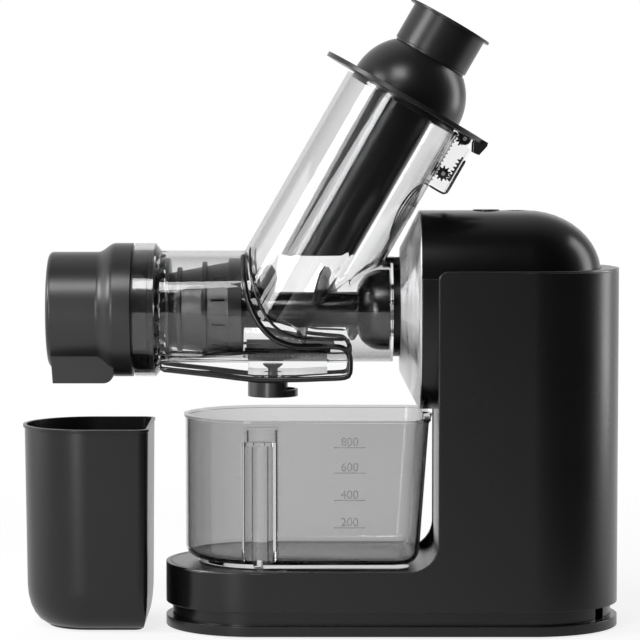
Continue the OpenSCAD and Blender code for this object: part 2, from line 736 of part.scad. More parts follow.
module pinion_pin() color("#b5b8bb") {
  in_tube() translate([pinion_x, 0, pinion_z]) rotate([90, 0, 0]) cylinder(h = box_w, r = pin_r, center = true);
}

module seal_ring() color("#161616") { pipe_x(ring_x1 - 3.6, ring_x1 - 0.5, socket_r - 0.2, bore_r + 0.4); }

module strainer_cone() color("#2b2c2e", 0.8) {
  difference() {
    union() {
      on_axis(strainer_x0) cylinder(h = strainer_x1 - strainer_x0, r1 = strainer_r0, r2 = strainer_r1);
      rod_x_axis(strainer_x0, strainer_x0 + 2, bore_r - gap);
      rod_x_axis(strainer_x1 - 8, strainer_x1, bore_r - gap);
      for (s = [[6.6, 2.6], [22, 3.2]]) rod_x_axis(strainer_x0 + s[0], strainer_x0 + s[0] + 2.6,
        strainer_r0 + (strainer_r1 - strainer_r0) * s[0] / (strainer_x1 - strainer_x0) + s[1]);
    }
    on_axis(strainer_x0 - 0.5) cylinder(h = strainer_x1 - strainer_x0 + 1, r1 = strainer_r0 - 1.6,
      r2 = strainer_r1 - 1.6);
    for (a = [30:30:330]) on_axis(strainer_x0 + 28) rotate([0, 0, a + 15]) translate([10, -0.6, 0])
      cube([30, 1.2, 8]);
  }
}

module juice_sieve() color("#c8cacc") {
  n = 9;
  difference() {
    on_axis(sieve_x0) rotate([0, 0, -sieve_a]) rotate_extrude(angle = 2 * sieve_a)
      translate([bore_r - 1.1, 0]) square([0.8, sieve_x1 - sieve_x0]);
    for (i = [0:14], a = [-30:12:30]) translate([sieve_x0 + 5 + 3 * i, 0, drum_z]) rotate([a, 0, 0])
      translate([0, 0, -bore_r - 2]) cylinder(h = 4, r = 0.8, $fn = 16);
  }
}

// ---- Auger ----

// Twisted blade with n arms, cut to the profile of revolution that holds it
module flight(x0, x1, arms, thick) {
  on_axis(x0) linear_extrude(x1 - x0, twist = 360 * (x1 - x0) / flight_pitch, slices = 40)
    for (k = [0:arms - 1]) rotate(180 + 360 * (3 - x0) / flight_pitch + 360 * k / arms) translate([0, -thick / 2]) square([flight_r, thick]);
}

module auger() color("#37393c") {
  xa = strainer_x0 - 4;
  difference() {
    union() {
      on_axis(xa) cylinder(h = strainer_x1 - xa, r1 = 14.5, r2 = auger_shaft_r + 1);
      rod_x_axis(strainer_x1, auger_x1, auger_shaft_r);
      intersection() {
        flight(xa, rear_x + 6, 1, flight_t);
        on_axis(xa) rotate_extrude() polygon([[0, 0], [strainer_r0 - 3, 0], [strainer_r0 - 2.6, 5],
          [strainer_r1 - 2.9, strainer_x1 - xa], [flight_r, strainer_x1 - xa + 3],
          [flight_r, rear_x - xa - 2], [14, rear_x - xa + 6], [0, rear_x - xa + 6]]);
      }
      // Bowl-shaped hub at the back
      on_axis(auger_x1 - 20) rotate_extrude() polygon(concat([[0, 0], [10, 0]],
        arc(10, 14.7, 14.7, -80, 0, 8), [[24.7, 20], [0, 20]]));
    }
    on_axis(hex_x0 - 3) rotate([0, 0, 30]) cylinder(h = 40, r = hex_r + gap, $fn = 6);
    pipe_x(auger_x1 - 4, auger_x1 + 1, 19, 14);
  }
}

module auger_seal() color("#6b6d70") { pipe_x(auger_x1 - 3.8, auger_x1 + 0.3, 18.8, 14.2); }

// ---- Cap and drip stop ----

// The cap's outline of revolution: a shallow domed end, a rounded rim and a flare, drawn in by d
module cap_turned(d) {
  rim = 3 - d / 2;
  on_axis(cap_x0) rotate_extrude() polygon(concat([[0, d - 1.4], [cap_r / 2 - d, d - 1]],
    arc(cap_r - d - rim, d + rim, rim, -80, 0, 6),
    [for (t = [0:0.125:1]) [cap_r - d + (ring_r - cap_r) * (1 - cos(180 * t)) / 2, cap_x1 - cap_x0 - 21.5 + 11 * t]],
    [[ring_r - d, cap_x1 - cap_x0 - d], [0, cap_x1 - cap_x0 - d]]));
}

// Side view of the chute, drawn in by d
module chute_profile(d) {
  z0 = chute_z - (d > 0 ? 5 : 0);
  polygon(concat([[cap_x0 + 1 + d, drum_z - 8], [cap_x0 + chute_lean + d, z0]],
    d > 0 ? [[chute_x1 - d, z0]] : arc(chute_x1 - chute_edge, chute_z + chute_edge, chute_edge, -90, 0, 6),
    [[chute_x1 - d, drum_z - 8]]));
}

module pulp_cap() color("#222426") {
  difference() {
    union() {
      cap_turned(0);
      side_plate(2 * chute_w) chute_profile(0);
    }
    cap_turned(cap_t);
    side_plate(2 * (chute_w - cap_t)) chute_profile(cap_t);
    rod_x_axis(cap_x1 - cap_t - 1, cap_x1 + 1, socket_r - 3.2);
  }
  // Socket that centres the cap in the drum's ring
  pipe_x(cap_x1 - cap_t, ring_x1 - 4, socket_r - gap, socket_r - 3.2);
}

module drip_stop() color("#1a1b1c") {
  difference() {
    union() {
      translate([spout_x, 0, drip_z]) cylinder(h = 9.3, r = drip_r);
    }
    translate([spout_x, 0, drip_z + 2]) cylinder(h = 20, r = drip_r - 1.6);
    translate([spout_x + 7.6, -20, drip_z + 4.4]) cube([20, 40, 20]);
    translate([spout_x + 3.2, 0, drip_z - 1]) cylinder(h = 5, r = 2.4);
  }
  translate([spout_x, 0, drip_z + 1.5]) difference() {
    cylinder(h = 7, r = spout_r + gap + 1.5);
    translate([0, 0, -1]) cylinder(h = 10, r = spout_r + gap);
  }
}

module drip_seal() color("#5c5e60") {
  translate([spout_x, 0, drip_z + 2.1]) difference() {
    cylinder(h = 3.9, r = spout_r);
    translate([3.2, 0, -1]) cylinder(h = 6, r = 2.4);
  }
}

// ---- Lid, pusher and interlock ----

module lid() color("#1c1d1f") {
  in_tube() {
    difference() {
      union() {
        rotate_extrude($fn = 128) translate([0, lid_z]) polygon(concat(
          [[tube_bore_r - 3, -skirt_h], [tube_bore_r - 0.4, -skirt_h], [tube_bore_r - 0.4, 0], [lid_r, 0],
            [lid_r, lid_t], [dome_r, lid_t]],
          arc(0, lid_t, dome_r, 3, acos(cup_r / dome_r), 12), [[stem_r + 0.5, dome_top + lid_t]],
          arc(0, lid_t, dome_r - 2.5, acos((stem_r + 0.5) / (dome_r - 2.5)), 2, 12),
          [[tube_bore_r - 3, lid_t - 0.5]]));
        // Thumb tab beyond the hinge
        side_plate(28) polygon([[pin_x + 5.6, lid_z + 1], [pin_x + 5.6, lid_z - 1.5], [pin_x + 8.2, pin_z - 4.6],
          [lid_r + 0.4, pin_z - 4.4], [lid_r + 2, lid_z + 0.6], [lid_r + 1.4, lid_z + lid_t],
          [pin_x + 5.6, lid_z + lid_t]]);
      }
      // Room for the rod's pad, the ears and the interlock box
      translate([tube_bore_r - 8, -pad_w / 2 - 1, lid_z - skirt_h - 1]) cube([20, pad_w + 2, skirt_h + 1]);
      translate([pin_x + 2, -box_w / 2 - 0.6, lid_z - 10]) cube([30, box_w + 1.2, 30]);
      translate([pin_x - 4.5, -box_w / 2 - 0.6, lid_z - 1]) cube([30, box_w + 1.2, 10]);
    }
    // Knuckle with its toothed sector
    difference() {
      side_plate(2 * lock_w - 0.4) {
        circle_at(pin_x, pin_z, neck_r);
        polygon([[pin_x - 5.2, lid_z + lid_t], [pin_x + 2, lid_z + lid_t], [pin_x + 2, pin_z],
          [pin_x - 3.5, pin_z], [pin_x - 3.6, lid_z + 0.2], [pin_x - 5.2, lid_z + 0.2]]);
      }
      translate([pin_x, 0, pin_z]) rotate([90, 0, 0]) cylinder(h = 40, r = pin_r + run, center = true);
    }
    side_plate(lock_w) difference() {
      intersection() {
        translate([pin_x, pin_z]) gear_2d(knuckle_n, lock_m, 15);
        translate([pin_x, pin_z]) polygon([[0, 0], [-20, 12], [-20, -20], [3, -20]]);
      }
      circle_at(pin_x, pin_z, pin_r + run);
    }
  }
}
module circle_at(x, z, r) { translate([x, z]) circle(r = r); }

module pusher() color("#151617") {
  difference() {
    union() {
      in_tube() {
        translate([0, 0, -10]) cylinder(h = cup_z + 10, r = stem_r);
        translate([0, 0, cup_z]) cylinder(h = 2, r = cup_r - 0.8);
        translate([0, 0, cup_z + 1.6]) cylinder(h = cup_h - 1.6, r = cup_r);
        translate([0, 0, cup_z + cup_h - 1.4]) cylinder(h = 1.4, r = cup_r + 3);
      }
    }
    in_tube() translate([0, 0, cup_z + 2.4]) cylinder(h = cup_h, r = cup_r - 2.2);
    in_tube() translate([0, 0, 58]) cylinder(h = cup_z - 60, r = stem_r - 3);
    translate([-big, -big, drum_z + stem_z - big]) cube([2 * big, 2 * big, big]);
    // Ridges under the stem
    for (i = [-8:8]) translate([tube_x + 17 + 2.6 * i, -30, drum_z + stem_z - 0.7]) rotate([0, 45, 0])
      cube([1, 60, 1]);
  }
}

module interlock_rod() color("#3c3e40") {
  in_tube() difference() {
    side_plate(lock_w) {
      translate([rod_in, rod_end_z - 2]) square([rod_t, pin_z + 1 - rod_end_z + 2]);
      translate([rod_x, 0]) rack_teeth([for (k = [0:12]) pin_z - lock_pitch * k]);
    }
    // The lower end is cut to a wedge that meets the plunger
    translate([rod_in + rod_t / 2, 0, rod_end_z]) rotate([0, -30, 0]) translate([-10, -10, -20]) cube([20, 20, 20]);
  }
}

module interlock_pinion() color("#3c3e40") {
  in_tube() translate([pinion_x, 0, pinion_z]) rotate([90, 0, 0]) linear_extrude(lock_w, center = true)
    difference() {
      gear_2d(pinion_n, lock_m, 0);
      circle(r = pin_r + run);
    }
}

module return_rack() color("#3c3e40") {
  in_tube() side_plate(lock_w) {
    translate([return_x + 1.1 * lock_m, pinion_z - 2.4]) square([1, 17]);
    translate([return_x, 0]) mirror([1, 0]) rack_teeth([for (k = [0:5]) pinion_z + lock_pitch * (k - 0.5)]);
  }
}

// ---- Controls ----

module power_button() color("#0c0c0d") {
  translate([power_x, 0, button_z - 6]) cylinder(h = 6.5, r = power_r);
  translate([power_x, 0, board_z + 6.8]) cylinder(h = button_z - board_z - 12, r = 2);
}

module reverse_button() color("#0c0c0d") {
  translate([reverse_x, 0, button_z - 6]) difference() {
    cylinder(h = 6, r = reverse_r);
    translate([0, 0, 21.2]) sphere(r = 16);
  }
  translate([reverse_x, 0, board_z + 6.8]) cylinder(h = button_z - board_z - 12, r = 2);
}

// A coil round a button's stem, on the board
module button_spring(x) {
  h = button_z - 6 - board_z - 1.6;
  translate([x, 0, board_z + 1.6]) linear_extrude(h, twist = -360 * h / 2.9, slices = 48, $fn = 8)
    polygon(concat(arc(0, 0, 5.7, 0, 130, 3), arc(0, 0, 4.7, 130, 0, 3)));
}
module power_spring() color("#9a9da0") { button_spring(power_x); }
module reverse_spring() color("#9a9da0") { button_spring(reverse_x); }

// ---- Jug and pulp container ----

// The hollow for the fingers, with its wall grown by d
module jug_grip(hw, d) {
  for (s = [-1, 1]) translate([grip_x, 0, jug_z - 1]) linear_extrude(76 + d) {
    translate([0, s * (hw - grip_depth + grip_r)]) circle(r = grip_r + d);
    translate([-grip_r - d, s > 0 ? hw - grip_depth + grip_r : -hw - 9]) square([2 * (grip_r + d), 9.4]);
  }
}

module jug() color("#9b9ea1", 0.5) {
  hw = jug_w / 2;
  z1 = tray_z + jug_h;
  spout_h = 13;
  difference() {
    union() {
      difference() {
        union() {
          tub(jug_x0 + 8, jug_x1 - 12, hw - 8, 8, 0.6, jug_z, jug_z + 8);
          tub(jug_x0, jug_x1, hw, 14, jug_edge, jug_z + jug_foot, z1, [0, jug_lean]);
          tub(jug_x0 - 1, jug_x1 + 1, hw + 1, 15, 0.6, z1 - 1.8, z1);
        }
        jug_grip(hw, 0);
      }
      translate([jug_x1 - 6, 0, z1 - spout_h]) cylinder(h = spout_h, r1 = 5, r2 = 9.5);
    }
    difference() {
      tub(jug_x0 + jug_t, jug_x1 - jug_t, hw - jug_t, 14 - jug_t, jug_edge - jug_t,
        jug_z + jug_foot + jug_t, z1 + 5, [0, jug_lean]);
      jug_grip(hw, jug_t);
    }
    translate([jug_x1 - 6, 0, z1 - spout_h + 3]) cylinder(h = spout_h, r1 = 3.6, r2 = 8.6);
  }
}

module pulp_container() color("#26282b") {
  x0 = pot_x1 - pot_l;
  difference() {
    union() {
      tub(x0 + 1, pot_x1 - 0.5, pot_w / 2 - 1, 6, pot_edge, pot_foot, pot_h - 1, pot_lean, pot_rise, pot_keep);
      tub(x0, pot_x1, pot_w / 2, 7, 0.4, pot_h - 1.8, pot_h);
      tub(x0 + 15, pot_x1 - 5, pot_w / 2 - 15, 5, 1, 0, 6);
    }
    tub(x0 + pot_t, pot_x1 - pot_t, pot_w / 2 - pot_t, 6, pot_edge - pot_t, pot_foot + pot_t, pot_h + 5,
      pot_lean, pot_rise, pot_keep);
  }
}

body_shell();
front_housing();
top_cover();
steel_face();
bayonet_collar();
base_plate();
rubber_feet();
base_screws();
gearbox_case();
gearbox_cover();
output_bearing();
idler_shaft();
motor_stator();
motor_bracket();
circuit_board();
board_posts();
microswitch();
drum();
hinge_pin();
pinion_pin();
seal_ring();
strainer_cone();
juice_sieve();
auger();
auger_seal();
output_shaft();
output_gear();
idler_gear();
rotor_core();
rotor_shaft();
motor_fan();
pulp_cap();
drip_stop();
drip_seal();
lid();
pusher();
interlock_rod();
interlock_pinion();
return_rack();
switch_plunger();
power_button();
reverse_button();
power_spring();
reverse_spring();
jug();
pulp_container();
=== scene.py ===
"""Horizontal slow juicer: finishes, small fittings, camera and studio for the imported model."""
import json
import math

import bmesh
import bpy
from mathutils import Matrix, Vector


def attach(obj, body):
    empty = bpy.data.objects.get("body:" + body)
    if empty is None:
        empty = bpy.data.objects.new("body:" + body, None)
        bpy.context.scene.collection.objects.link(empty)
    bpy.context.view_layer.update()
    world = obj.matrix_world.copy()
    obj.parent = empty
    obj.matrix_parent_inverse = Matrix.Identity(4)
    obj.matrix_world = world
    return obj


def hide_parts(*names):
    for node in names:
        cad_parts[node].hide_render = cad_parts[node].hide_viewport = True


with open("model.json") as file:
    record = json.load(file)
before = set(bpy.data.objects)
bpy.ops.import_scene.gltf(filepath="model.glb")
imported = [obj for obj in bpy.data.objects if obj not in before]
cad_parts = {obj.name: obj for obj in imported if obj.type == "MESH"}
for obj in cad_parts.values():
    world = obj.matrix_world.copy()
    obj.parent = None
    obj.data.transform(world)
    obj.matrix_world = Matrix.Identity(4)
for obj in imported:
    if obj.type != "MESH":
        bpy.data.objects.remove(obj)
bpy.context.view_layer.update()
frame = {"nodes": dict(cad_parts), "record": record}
nodes = frame["nodes"]
scene = bpy.context.scene

# ---------------------------------------------------------------- camera

# Width of the picture where the camera aims, and the camera's place and aim, in metres
FRAME_W = 0.3929
EYE = Vector((-0.0003, -1.87, 0.318))
AIM = Vector((-0.0003, 0, 0.1876))
SENSOR_MM = 36.0


def turned_to(place, target):
    """The rotation that points a camera or lamp from its place to a target."""
    return (Vector(target) - Vector(place)).to_track_quat("-Z", "Y").to_euler()


cam_data = bpy.data.cameras.new("studio_camera")
cam_data.sensor_width = SENSOR_MM
cam_data.lens = SENSOR_MM * (AIM - EYE).length / FRAME_W
camera = bpy.data.objects.new("studio_camera", cam_data)
camera.location = EYE
camera.rotation_euler = turned_to(EYE, AIM)
scene.collection.objects.link(camera)
scene.camera = camera
scene.view_settings.view_transform = "Standard"

# ---------------------------------------------------------------- shader nodes


def add_node(tree, kind, inputs=None, **settings):
    """A new node with its settings and the values of its inputs."""
    node = tree.nodes.new(kind)
    for name, value in settings.items():
        setattr(node, name, value)
    for name, value in (inputs or {}).items():
        node.inputs[name].default_value = value
    return node


def new_finish(name):
    """An empty material, its node tree and its Principled shader."""
    mat = bpy.data.materials.new(name)
    mat.use_nodes = True
    tree = mat.node_tree
    tree.nodes.clear()
    out = tree.nodes.new("ShaderNodeOutputMaterial")
    shader = tree.nodes.new("ShaderNodeBsdfPrincipled")
    tree.links.new(shader.outputs[0], out.inputs[0])
    return mat, tree, shader


def object_space(tree, scale=(1, 1, 1)):
    """Object coordinates stretched by a scale on each axis."""
    coord = add_node(tree, "ShaderNodeTexCoord")
    mapping = add_node(tree, "ShaderNodeMapping", {"Scale": scale})
    tree.links.new(coord.outputs["Object"], mapping.inputs["Vector"])
    return mapping.outputs[0]


def grain_noise(tree, vector, scale, detail):
    """Noise at a scale, as a value about 0.5."""
    tex = add_node(tree, "ShaderNodeTexNoise", {"Scale": scale, "Detail": detail})
    tree.links.new(vector, tex.inputs["Vector"])
    return tex.outputs["Fac"]


# Nearly all of a noise's values lie in this span
NOISE_LOW, NOISE_HIGH = 0.3, 0.7


def remap(tree, value, low_out, high_out, low_in=NOISE_LOW, high_in=NOISE_HIGH):
    """A value taken from one span to another, and held at its ends."""
    node = add_node(tree, "ShaderNodeMapRange", {"From Min": low_in, "From Max": high_in,
                                                 "To Min": low_out, "To Max": high_out})
    tree.links.new(value, node.inputs["Value"])
    return node.outputs[0]


def combine(tree, operation, first, second):
    """The result of a maths operation on two values, each a number or another node's output."""
    node = add_node(tree, "ShaderNodeMath", operation=operation)
    for socket, value in zip(node.inputs, (first, second)):
        if isinstance(value, bpy.types.NodeSocket):
            tree.links.new(value, socket)
        else:
            socket.default_value = value
    return node.outputs[0]


def relief(tree, shader, height, distance, strength=1.0, edge=0.0):
    """Fine relief in the surface, with edges that catch light over a small radius."""
    bump = add_node(tree, "ShaderNodeBump", {"Distance": distance, "Strength": strength})
    if edge:
        rounded = add_node(tree, "ShaderNodeBevel", {"Radius": edge}, samples=6)
        tree.links.new(rounded.outputs[0], bump.inputs["Normal"])
    tree.links.new(height, bump.inputs["Height"])
    tree.links.new(bump.outputs[0], shader.inputs["Normal"])


def tint(tree, shader, value, dark, light):
    """A base colour that follows a noise from a dark to a light shade."""
    ramp = add_node(tree, "ShaderNodeValToRGB")
    stops = ((NOISE_LOW, dark), (NOISE_HIGH, light))
    for element, (place, colour) in zip(ramp.color_ramp.elements, stops):
        element.position = place
        element.color = (*colour, 1)
    tree.links.new(value, ramp.inputs[0])
    tree.links.new(ramp.outputs[0], shader.inputs["Base Color"])


def shade(colour, factor):
    """A colour made darker or lighter by a factor."""
    return [c * factor for c in colour]


# ---------------------------------------------------------------- finishes

# Noise scales: the fine grain of a mould, its slow changes in sheen, flow marks, wear on metal
FINE, SLOW, FLOW, WEAR = 1400, 14, 26, 160


def moulded(name, colour, rough, grain=0.000012, spread=0.03, specular=0.5, edge=0.0006):
    """Moulded plastic: a fine surface grain, with slow changes in its sheen."""
    mat, tree, shader = new_finish(name)
    space = object_space(tree)
    fine = grain_noise(tree, space, FINE, 2)
    slow = grain_noise(tree, space, SLOW, 4)
    tint(tree, shader, slow, shade(colour, 0.92), shade(colour, 1.08))
    tree.links.new(remap(tree, slow, rough - spread, rough + spread), shader.inputs["Roughness"])
    shader.inputs["Specular IOR Level"].default_value = specular
    relief(tree, shader, fine, distance=grain, edge=edge)
    return mat


def brushed(name, colour, rough, along=(600, 600, 6)):
    """Brushed sheet steel: long streaks along one way in its sheen and relief."""
    mat, tree, shader = new_finish(name)
    streaks = grain_noise(tree, object_space(tree, along), 1.0, 6)
    tint(tree, shader, streaks, shade(colour, 0.86), colour)
    shader.inputs["Metallic"].default_value = 1.0
    shader.inputs["Anisotropic"].default_value = 0.5
    tree.links.new(remap(tree, streaks, rough - 0.08, rough + 0.1), shader.inputs["Roughness"])
    relief(tree, shader, streaks, distance=0.00002, strength=0.7)
    return mat


def clear_plastic(name, colour, painted_rim_shade, ior, curve=0.5, rough=0.012):
    """Clear moulded plastic: faint flow marks, and painted shade in its colour, darker where the wall
    is seen at a slant.
    """
    mat, tree, shader = new_finish(name)
    flow = grain_noise(tree, object_space(tree), FLOW, 2)
    slant = add_node(tree, "ShaderNodeLayerWeight", {"Blend": curve})
    # Painted shade: the colour turns to the dark rim colour where the wall is seen at a slant
    mix = add_node(tree, "ShaderNodeMix", data_type="RGBA")
    mix.inputs["A"].default_value = (*colour, 1)
    mix.inputs["B"].default_value = (*painted_rim_shade, 1)
    tree.links.new(slant.outputs["Facing"], mix.inputs["Factor"])
    tree.links.new(mix.outputs["Result"], shader.inputs["Base Color"])
    shader.inputs["Transmission Weight"].default_value = 1.0
    shader.inputs["IOR"].default_value = ior
    tree.links.new(remap(tree, flow, rough * 0.5, rough * 1.5), shader.inputs["Roughness"])
    relief(tree, shader, flow, distance=0.00003, strength=0.4)
    return mat


def plain_metal(name, colour, rough):
    """Cast or turned metal: fine wear in its colour, sheen and relief."""
    mat, tree, shader = new_finish(name)
    wear = grain_noise(tree, object_space(tree), WEAR, 4)
    tint(tree, shader, wear, shade(colour, 0.85), colour)
    shader.inputs["Metallic"].default_value = 1.0
    tree.links.new(remap(tree, wear, rough - 0.06, rough + 0.1), shader.inputs["Roughness"])
    relief(tree, shader, wear, distance=0.00002, strength=0.5)
    return mat


satin_black = moulded("satin_black", (0.0045, 0.0045, 0.0047), 0.28, specular=0.38, edge=0.0010)
base_black = moulded("base_black", (0.0045, 0.0045, 0.0047), 0.28, specular=0.38)
gloss_black = moulded("gloss_black", (0.0024, 0.0024, 0.0025), 0.24, grain=0.000004, spread=0.02,
                      specular=0.26)
cap_black = moulded("cap_black", (0.012, 0.012, 0.0124), 0.32, specular=0.48)
lid_black = moulded("lid_black", (0.007, 0.007, 0.0073), 0.31, grain=0.000004, specular=0.42)
container_black = moulded("container_black", (0.0065, 0.0065, 0.007), 0.29, specular=0.34)
auger_dark = moulded("auger_dark", (0.012, 0.012, 0.0125), 0.22, grain=0.000003, specular=0.6,
                     edge=0.0008)
mechanism_grey = moulded("mechanism_grey", (0.035, 0.035, 0.036), 0.35, edge=0.0002)
seal_rubber = moulded("seal_rubber", (0.006, 0.006, 0.006), 0.4)
foot_rubber = moulded("foot_rubber", (0.02, 0.02, 0.02), 0.8)
gear_plastic = moulded("gear_plastic", (0.55, 0.53, 0.47), 0.45, edge=0.0002)
board_lacquer = moulded("board_lacquer", (0.02, 0.12, 0.05), 0.35)
face_steel = brushed("face_steel", (0.80, 0.80, 0.81), 0.34)
sieve_steel = brushed("sieve_steel", (0.34, 0.34, 0.345), 0.30, along=(20, 500, 500))
ground_metal = plain_metal("ground_metal", (0.55, 0.55, 0.56), 0.25)
cast_metal = plain_metal("cast_metal", (0.35, 0.36, 0.37), 0.5)
sintered_bronze = plain_metal("sintered_bronze", (0.5, 0.38, 0.18), 0.4)
motor_iron = plain_metal("motor_iron", (0.22, 0.23, 0.24), 0.5)
winding_copper = plain_metal("winding_copper", (0.5, 0.24, 0.1), 0.35)
# The second colour of each clear finish is its painted shade at slanted walls
drum_clear = clear_plastic("drum_clear", (0.975, 0.975, 0.978), (0.08, 0.08, 0.081), 1.42, 0.32)
jug_smoke = clear_plastic("jug_smoke", (0.63, 0.63, 0.633), (0.33, 0.33, 0.333), 1.38)
strainer_smoke = moulded("strainer_smoke", (0.020, 0.020, 0.0205), 0.34, grain=0.0, specular=0.8,
                         edge=0.0004)
line_grey = moulded("line_grey", (0.20, 0.20, 0.202), 0.4, edge=0.0)
# Lighter colour of the bead along the side panels' edge: a painted highlight
painted_edge_highlight = moulded("painted_edge_highlight", (0.050, 0.050, 0.051), 0.26, grain=0.0, spread=0.0,
                     specular=1.0, edge=0.0)
smoke_bead = moulded("smoke_bead", (0.004, 0.004, 0.004), 0.22, grain=0.0, spread=0.0,
                     specular=0.6, edge=0.0)

# What each solid is made of; shafts, screws, pins and springs, not named here, are ground metal
FINISH = {
    "body_shell": satin_black, "front_housing": satin_black, "base_plate": base_black,
    "top_cover": gloss_black, "power_button": gloss_black, "reverse_button": gloss_black,
    "bayonet_collar": gloss_black, "steel_face": face_steel, "juice_sieve": sieve_steel,
    "drum": drum_clear, "jug": jug_smoke, "strainer_cone": strainer_smoke, "lid": lid_black,
    "pusher": lid_black, "pulp_cap": cap_black, "auger": auger_dark, "drip_stop": auger_dark,
    "pulp_container": container_black, "auger_seal": seal_rubber, "drip_seal": seal_rubber,
    "seal_ring": seal_rubber, "rubber_feet": foot_rubber, "gearbox_case": cast_metal,
    "gearbox_cover": cast_metal, "motor_bracket": cast_metal, "output_bearing": sintered_bronze,
    "output_gear": gear_plastic, "idler_gear": gear_plastic, "motor_fan": mechanism_grey,
    "motor_stator": motor_iron, "rotor_core": winding_copper, "circuit_board": board_lacquer,
    "board_posts": mechanism_grey, "interlock_rod": mechanism_grey,
    "interlock_pinion": mechanism_grey, "return_rack": mechanism_grey,
    "switch_plunger": mechanism_grey, "microswitch": mechanism_grey,
}
for name, node in nodes.items():
    node.data.materials.clear()
    node.data.materials.append(FINISH.get(name, ground_metal))

# ---------------------------------------------------------------- edges of the solids

# An edge that turns by more than SHARP looks sharp, and by more than BEVELLED is rounded over.
# Faces that turn by less than FLAT are joined into one
SHARP, BEVELLED, FLAT = math.radians(32), math.radians(38), math.radians(0.6)
# Corners nearer than this are one: in the solids as they stand, and in their rounded copies
TRIANGLE_GAP, COPY_GAP = 0.000002, 0.000003


def geometry_tree(name, controls):
    """A geometry node tree with its ends, and the values of its named controls by identifier."""
    tree = bpy.data.node_groups.new(name, "GeometryNodeTree")
    for way in ("INPUT", "OUTPUT"):
        tree.interface.new_socket("Geometry", in_out=way, socket_type="NodeSocketGeometry")
    values = {}
    for label, value in controls.items():
        kind = "NodeSocketInt" if isinstance(value, int) else "NodeSocketFloat"
        socket = tree.interface.new_socket(label, in_out="INPUT", socket_type=kind)
        socket.default_value = value
        values[socket.identifier] = value
    return tree, add_node(tree, "NodeGroupInput"), add_node(tree, "NodeGroupOutput"), values


def edge_shading():
    """A node tree that joins a solid's loose triangles and keeps only its real edges sharp."""
    tree, start, end, _ = geometry_tree("edge_shading", {})
    merge = add_node(tree, "GeometryNodeMergeByDistance", {"Distance": TRIANGLE_GAP})
    faces = add_node(tree, "GeometryNodeSetShadeSmooth")
    edges = add_node(tree, "GeometryNodeSetShadeSmooth", {"Shade Smooth": False}, domain="EDGE")
    angle = add_node(tree, "GeometryNodeInputMeshEdgeAngle")
    compare = add_node(tree, "FunctionNodeCompare", operation="GREATER_THAN")
    compare.inputs[1].default_value = SHARP
    link = tree.links.new
    link(start.outputs["Geometry"], merge.inputs["Geometry"])
    link(merge.outputs[0], faces.inputs["Geometry"])
    link(faces.outputs[0], edges.inputs["Geometry"])
    link(angle.outputs["Unsigned Angle"], compare.inputs[0])
    link(compare.outputs[0], edges.inputs["Selection"])
    link(edges.outputs[0], end.inputs[0])
    return tree


edge_tree = edge_shading()
for node in nodes.values():
    node.modifiers.new("edge_shading", "NODES").node_group = edge_tree

BODY_OF = {node: body for body, row in frame["record"]["behaviour"]["bodies"].items() for node in row}
# Width of each rounded edge, and the steps across it
ROUNDED = {"body_shell": (0.0022, 3), "front_housing": (0.0008, 2), "base_plate": (0.0010, 3),
           "pulp_container": (0.0005, 2), "pulp_cap": (0.0006, 2), "lid": (0.0007, 2),
           "pusher": (0.0005, 2), "steel_face": (0.0003, 1), "drip_stop": (0.0004, 2)}


def rounded_copy(name, width, steps):
    """A merged copy of a solid, with its sharp edges rounded over, in the solid's place."""
    mesh = nodes[name].data.copy()
    bm = bmesh.new()
    bm.from_mesh(mesh)
    bmesh.ops.remove_doubles(bm, verts=bm.verts, dist=COPY_GAP)
    bmesh.ops.dissolve_limit(bm, angle_limit=FLAT, verts=bm.verts, edges=bm.edges)
    for face in bm.faces:
        face.smooth = True
    for edge in bm.edges:
        edge.smooth = edge.calc_face_angle(0) < SHARP
    bm.to_mesh(mesh)
    bm.free()
    obj = bpy.data.objects.new(name + "_rounded", mesh)
    scene.collection.objects.link(obj)
    bevel = obj.modifiers.new("edge", "BEVEL")
    bevel.width = width
    bevel.segments = steps
    bevel.limit_method = "ANGLE"
    bevel.angle_limit = BEVELLED
    bevel.miter_outer = "MITER_ARC"
    obj.modifiers.new("flat_faces", "WEIGHTED_NORMAL").keep_sharp = True
    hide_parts(name)
    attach(obj, BODY_OF[name])


for name, (width, steps) in ROUNDED.items():
    rounded_copy(name, width, steps)

# ---------------------------------------------------------------- ways to make fittings

# The front of the juicer faces -Y
SIDES = (("front", -1), ("back", 1))


def piece(name, mesh, finish, body):
    """An object for a mesh in the model's own frame, carried by a body."""
    obj = bpy.data.objects.new(name, mesh)
    mesh.materials.clear()
    mesh.materials.append(finish)
    scene.collection.objects.link(obj)
    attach(obj, body)


def closed_mesh(name, bm):
    """The mesh that a bmesh holds; the bmesh goes."""
    mesh = bpy.data.meshes.new(name)
    bm.to_mesh(mesh)
    bm.free()
    return mesh


def plain_mesh(source):
    """The finished mesh of a source with modifiers or words; the source goes."""
    scene.collection.objects.link(source)
    bpy.context.view_layer.update()
    depsgraph = bpy.context.evaluated_depsgraph_get()
    mesh = bpy.data.meshes.new_from_object(source.evaluated_get(depsgraph))
    bpy.data.objects.remove(source)
    return mesh


